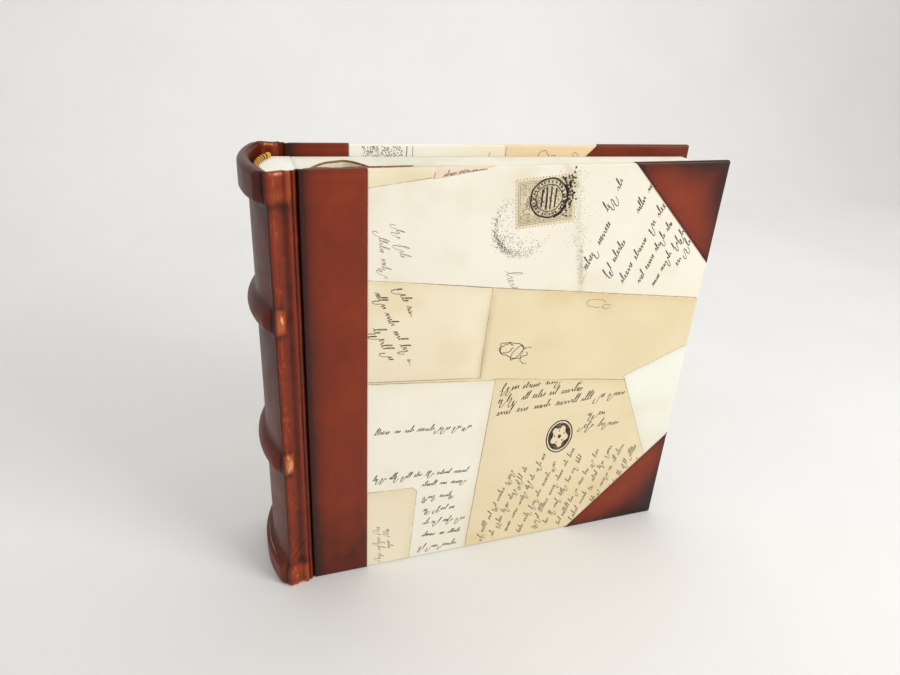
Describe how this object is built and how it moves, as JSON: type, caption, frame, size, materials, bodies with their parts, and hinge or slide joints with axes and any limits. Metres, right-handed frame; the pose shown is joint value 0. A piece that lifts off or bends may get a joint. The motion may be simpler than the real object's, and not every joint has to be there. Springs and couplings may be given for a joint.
{
  "type": "stamp album",
  "caption": "Half-leather album with a rounded spine, raised bands, decorated paper sides and hinged card leaves for mounting stamps; it stands on its tail.",
  "frame": {"origin": "centre of the album's box at the level of its tail, where it stands", "axes": "+X from the spine to the fore edge, -Y towards the front cover, +Z from tail to head"},
  "size_m": [0.3168, 0.079, 0.3],
  "materials": {
    "leather": "satin",
    "side_paper": "matte",
    "endpaper": "matte",
    "leaf_card": "matte",
    "greyboard": "matte",
    "linen": "matte",
    "cord": "matte",
    "endband": "satin"
  },
  "bodies": {
    "spine": {"spine_leather": "leather", "spine_hollow_card": "greyboard", "upper_raised_band": "greyboard", "lower_raised_band": "greyboard", "head_cap_cord": "cord", "tail_cap_cord": "cord", "spine_mull": "linen", "sewing_tapes": "linen", "head_endband": "endband", "tail_endband": "endband", "stub_guards": "leaf_card", "leaf_margins": "leaf_card"},
    "front_joint": {"front_joint_leather": "leather"},
    "front_cover": {"front_board": "greyboard", "front_board_leather": "leather", "front_paper_side": "side_paper", "front_head_corner": "leather", "front_tail_corner": "leather", "front_pastedown": "endpaper"},
    "back_joint": {"back_joint_leather": "leather"},
    "back_cover": {"back_board": "greyboard", "back_board_leather": "leather", "back_paper_side": "side_paper", "back_head_corner": "leather", "back_tail_corner": "leather", "back_pastedown": "endpaper"},
    "front_flyleaf": {"front_flyleaf": "endpaper"},
    "leaf_01": {"leaf_01": "leaf_card"},
    "leaf_02": {"leaf_02": "leaf_card"},
    "leaf_03": {"leaf_03": "leaf_card"},
    "leaf_04": {"leaf_04": "leaf_card"},
    "leaf_05": {"leaf_05": "leaf_card"},
    "leaf_06": {"leaf_06": "leaf_card"},
    "leaf_07": {"leaf_07": "leaf_card"},
    "leaf_08": {"leaf_08": "leaf_card"},
    "leaf_09": {"leaf_09": "leaf_card"},
    "leaf_10": {"leaf_10": "leaf_card"},
    "leaf_11": {"leaf_11": "leaf_card"},
    "leaf_12": {"leaf_12": "leaf_card"},
    "leaf_13": {"leaf_13": "leaf_card"},
    "leaf_14": {"leaf_14": "leaf_card"},
    "leaf_15": {"leaf_15": "leaf_card"},
    "leaf_16": {"leaf_16": "leaf_card"},
    "leaf_17": {"leaf_17": "leaf_card"},
    "leaf_18": {"leaf_18": "leaf_card"},
    "leaf_19": {"leaf_19": "leaf_card"},
    "leaf_20": {"leaf_20": "leaf_card"},
    "leaf_21": {"leaf_21": "leaf_card"},
    "leaf_22": {"leaf_22": "leaf_card"},
    "leaf_23": {"leaf_23": "leaf_card"},
    "leaf_24": {"leaf_24": "leaf_card"},
    "back_flyleaf": {"back_flyleaf": "endpaper"}
  },
  "joints": [
    {"name": "front_spine_crease", "type": "hinge", "parent": "spine", "child": "front_joint", "pos_m": [-0.1369, -0.0347, 0.15], "axis": [0, 0, -1], "range_deg": [0, 90]},
    {"name": "front_cover_open", "type": "hinge", "parent": "front_joint", "child": "front_cover", "pos_m": [-0.12744, -0.03564, 0.15], "axis": [0, 0, -1], "range_deg": [0, 90]},
    {"name": "back_spine_crease", "type": "hinge", "parent": "spine", "child": "back_joint", "pos_m": [-0.1369, 0.0347, 0.15], "axis": [0, 0, 1], "range_deg": [0, 90]},
    {"name": "back_cover_open", "type": "hinge", "parent": "back_joint", "child": "back_cover", "pos_m": [-0.12744, 0.03564, 0.15], "axis": [0, 0, 1], "range_deg": [0, 90]},
    {"name": "front_flyleaf_turn", "type": "hinge", "parent": "spine", "child": "front_flyleaf", "pos_m": [-0.1329, -0.03125, 0.15], "axis": [0, 0, -1], "range_deg": [0, 100.01]},
    {"name": "leaf_01_turn", "type": "hinge", "parent": "spine", "child": "leaf_01", "pos_m": [-0.13138, -0.02875, 0.15], "axis": [0, 0, -1], "range_deg": [0, 96.01]},
    {"name": "leaf_02_turn", "type": "hinge", "parent": "spine", "child": "leaf_02", "pos_m": [-0.13002, -0.02625, 0.15], "axis": [0, 0, -1], "range_deg": [0, 92.01]},
    {"name": "leaf_03_turn", "type": "hinge", "parent": "spine", "child": "leaf_03", "pos_m": [-0.12882, -0.02375, 0.15], "axis": [0, 0, -1], "range_deg": [0, 88.01]},
    {"name": "leaf_04_turn", "type": "hinge", "parent": "spine", "child": "leaf_04", "pos_m": [-0.12778, -0.02125, 0.15], "axis": [0, 0, -1], "range_deg": [0, 84.01]},
    {"name": "leaf_05_turn", "type": "hinge", "parent": "spine", "child": "leaf_05", "pos_m": [-0.1269, -0.01875, 0.15], "axis": [0, 0, -1], "range_deg": [0, 80.01]},
    {"name": "leaf_06_turn", "type": "hinge", "parent": "spine", "child": "leaf_06", "pos_m": [-0.12618, -0.01625, 0.15], "axis": [0, 0, -1], "range_deg": [0, 76.01]},
    {"name": "leaf_07_turn", "type": "hinge", "parent": "spine", "child": "leaf_07", "pos_m": [-0.12562, -0.01375, 0.15], "axis": [0, 0, -1], "range_deg": [0, 72.01]},
    {"name": "leaf_08_turn", "type": "hinge", "parent": "spine", "child": "leaf_08", "pos_m": [-0.12522, -0.01125, 0.15], "axis": [0, 0, -1], "range_deg": [0, 68.01]},
    {"name": "leaf_09_turn", "type": "hinge", "parent": "spine", "child": "leaf_09", "pos_m": [-0.12498, -0.00875, 0.15], "axis": [0, 0, -1], "range_deg": [0, 64.01]},
    {"name": "leaf_10_turn", "type": "hinge", "parent": "spine", "child": "leaf_10", "pos_m": [-0.1249, -0.00625, 0.15], "axis": [0, 0, -1], "range_deg": [0, 60.01]},
    {"name": "leaf_11_turn", "type": "hinge", "parent": "spine", "child": "leaf_11", "pos_m": [-0.1249, -0.00375, 0.15], "axis": [0, 0, -1], "range_deg": [0, 56.01]},
    {"name": "leaf_12_turn", "type": "hinge", "parent": "spine", "child": "leaf_12", "pos_m": [-0.1249, -0.00125, 0.15], "axis": [0, 0, -1], "range_deg": [0, 52.01]},
    {"name": "leaf_13_turn", "type": "hinge", "parent": "spine", "child": "leaf_13", "pos_m": [-0.1249, 0.00125, 0.15], "axis": [0, 0, -1], "range_deg": [0, 48.01]},
    {"name": "leaf_14_turn", "type": "hinge", "parent": "spine", "child": "leaf_14", "pos_m": [-0.1249, 0.00375, 0.15], "axis": [0, 0, -1], "range_deg": [0, 44.01]},
    {"name": "leaf_15_turn", "type": "hinge", "parent": "spine", "child": "leaf_15", "pos_m": [-0.1249, 0.00625, 0.15], "axis": [0, 0, -1], "range_deg": [0, 40.01]},
    {"name": "leaf_16_turn", "type": "hinge", "parent": "spine", "child": "leaf_16", "pos_m": [-0.1249, 0.00875, 0.15], "axis": [0, 0, -1], "range_deg": [0, 36.01]},
    {"name": "leaf_17_turn", "type": "hinge", "parent": "spine", "child": "leaf_17", "pos_m": [-0.1249, 0.01125, 0.15], "axis": [0, 0, -1], "range_deg": [0, 32.01]},
    {"name": "leaf_18_turn", "type": "hinge", "parent": "spine", "child": "leaf_18", "pos_m": [-0.1249, 0.01375, 0.15], "axis": [0, 0, -1], "range_deg": [0, 28.01]},
    {"name": "leaf_19_turn", "type": "hinge", "parent": "spine", "child": "leaf_19", "pos_m": [-0.1249, 0.01625, 0.15], "axis": [0, 0, -1], "range_deg": [0, 24.01]},
    {"name": "leaf_20_turn", "type": "hinge", "parent": "spine", "child": "leaf_20", "pos_m": [-0.1249, 0.01875, 0.15], "axis": [0, 0, -1], "range_deg": [0, 20.01]},
    {"name": "leaf_21_turn", "type": "hinge", "parent": "spine", "child": "leaf_21", "pos_m": [-0.1249, 0.02125, 0.15], "axis": [0, 0, -1], "range_deg": [0, 16.01]},
    {"name": "leaf_22_turn", "type": "hinge", "parent": "spine", "child": "leaf_22", "pos_m": [-0.1249, 0.02375, 0.15], "axis": [0, 0, -1], "range_deg": [0, 12.01]},
    {"name": "leaf_23_turn", "type": "hinge", "parent": "spine", "child": "leaf_23", "pos_m": [-0.1249, 0.02625, 0.15], "axis": [0, 0, -1], "range_deg": [0, 8.01]},
    {"name": "leaf_24_turn", "type": "hinge", "parent": "spine", "child": "leaf_24", "pos_m": [-0.1249, 0.02875, 0.15], "axis": [0, 0, -1], "range_deg": [0, 4.01]},
    {"name": "back_flyleaf_turn", "type": "hinge", "parent": "spine", "child": "back_flyleaf", "pos_m": [-0.1249, 0.03125, 0.15], "axis": [0, 0, 1], "range_deg": [0, 30.01]}
  ],
  "couplings": [
    {"joint": "front_spine_crease", "follows": "front_cover_open", "ratio": 1},
    {"joint": "back_spine_crease", "follows": "back_cover_open", "ratio": 1},
    {"joint": "front_flyleaf_turn", "follows": "front_cover_open", "ratio": 1.1111},
    {"joint": "leaf_01_turn", "follows": "front_cover_open", "ratio": 1.0667},
    {"joint": "leaf_02_turn", "follows": "front_cover_open", "ratio": 1.0222},
    {"joint": "leaf_03_turn", "follows": "front_cover_open", "ratio": 0.97778},
    {"joint": "leaf_04_turn", "follows": "front_cover_open", "ratio": 0.93333},
    {"joint": "leaf_05_turn", "follows": "front_cover_open", "ratio": 0.88889},
    {"joint": "leaf_06_turn", "follows": "front_cover_open", "ratio": 0.84444},
    {"joint": "leaf_07_turn", "follows": "front_cover_open", "ratio": 0.8},
    {"joint": "leaf_08_turn", "follows": "front_cover_open", "ratio": 0.75556},
    {"joint": "leaf_09_turn", "follows": "front_cover_open", "ratio": 0.71111},
    {"joint": "leaf_10_turn", "follows": "front_cover_open", "ratio": 0.66667},
    {"joint": "leaf_11_turn", "follows": "front_cover_open", "ratio": 0.62222},
    {"joint": "leaf_12_turn", "follows": "front_cover_open", "ratio": 0.57778},
    {"joint": "leaf_13_turn", "follows": "front_cover_open", "ratio": 0.53333},
    {"joint": "leaf_14_turn", "follows": "front_cover_open", "ratio": 0.48889},
    {"joint": "leaf_15_turn", "follows": "front_cover_open", "ratio": 0.44444},
    {"joint": "leaf_16_turn", "follows": "front_cover_open", "ratio": 0.4},
    {"joint": "leaf_17_turn", "follows": "front_cover_open", "ratio": 0.35556},
    {"joint": "leaf_18_turn", "follows": "front_cover_open", "ratio": 0.31111},
    {"joint": "leaf_19_turn", "follows": "front_cover_open", "ratio": 0.26667},
    {"joint": "leaf_20_turn", "follows": "front_cover_open", "ratio": 0.22222},
    {"joint": "leaf_21_turn", "follows": "front_cover_open", "ratio": 0.17778},
    {"joint": "leaf_22_turn", "follows": "front_cover_open", "ratio": 0.13333},
    {"joint": "leaf_23_turn", "follows": "front_cover_open", "ratio": 0.08889},
    {"joint": "leaf_24_turn", "follows": "front_cover_open", "ratio": 0.04444},
    {"joint": "back_flyleaf_turn", "follows": "back_cover_open", "ratio": 0.33333}
  ]
}
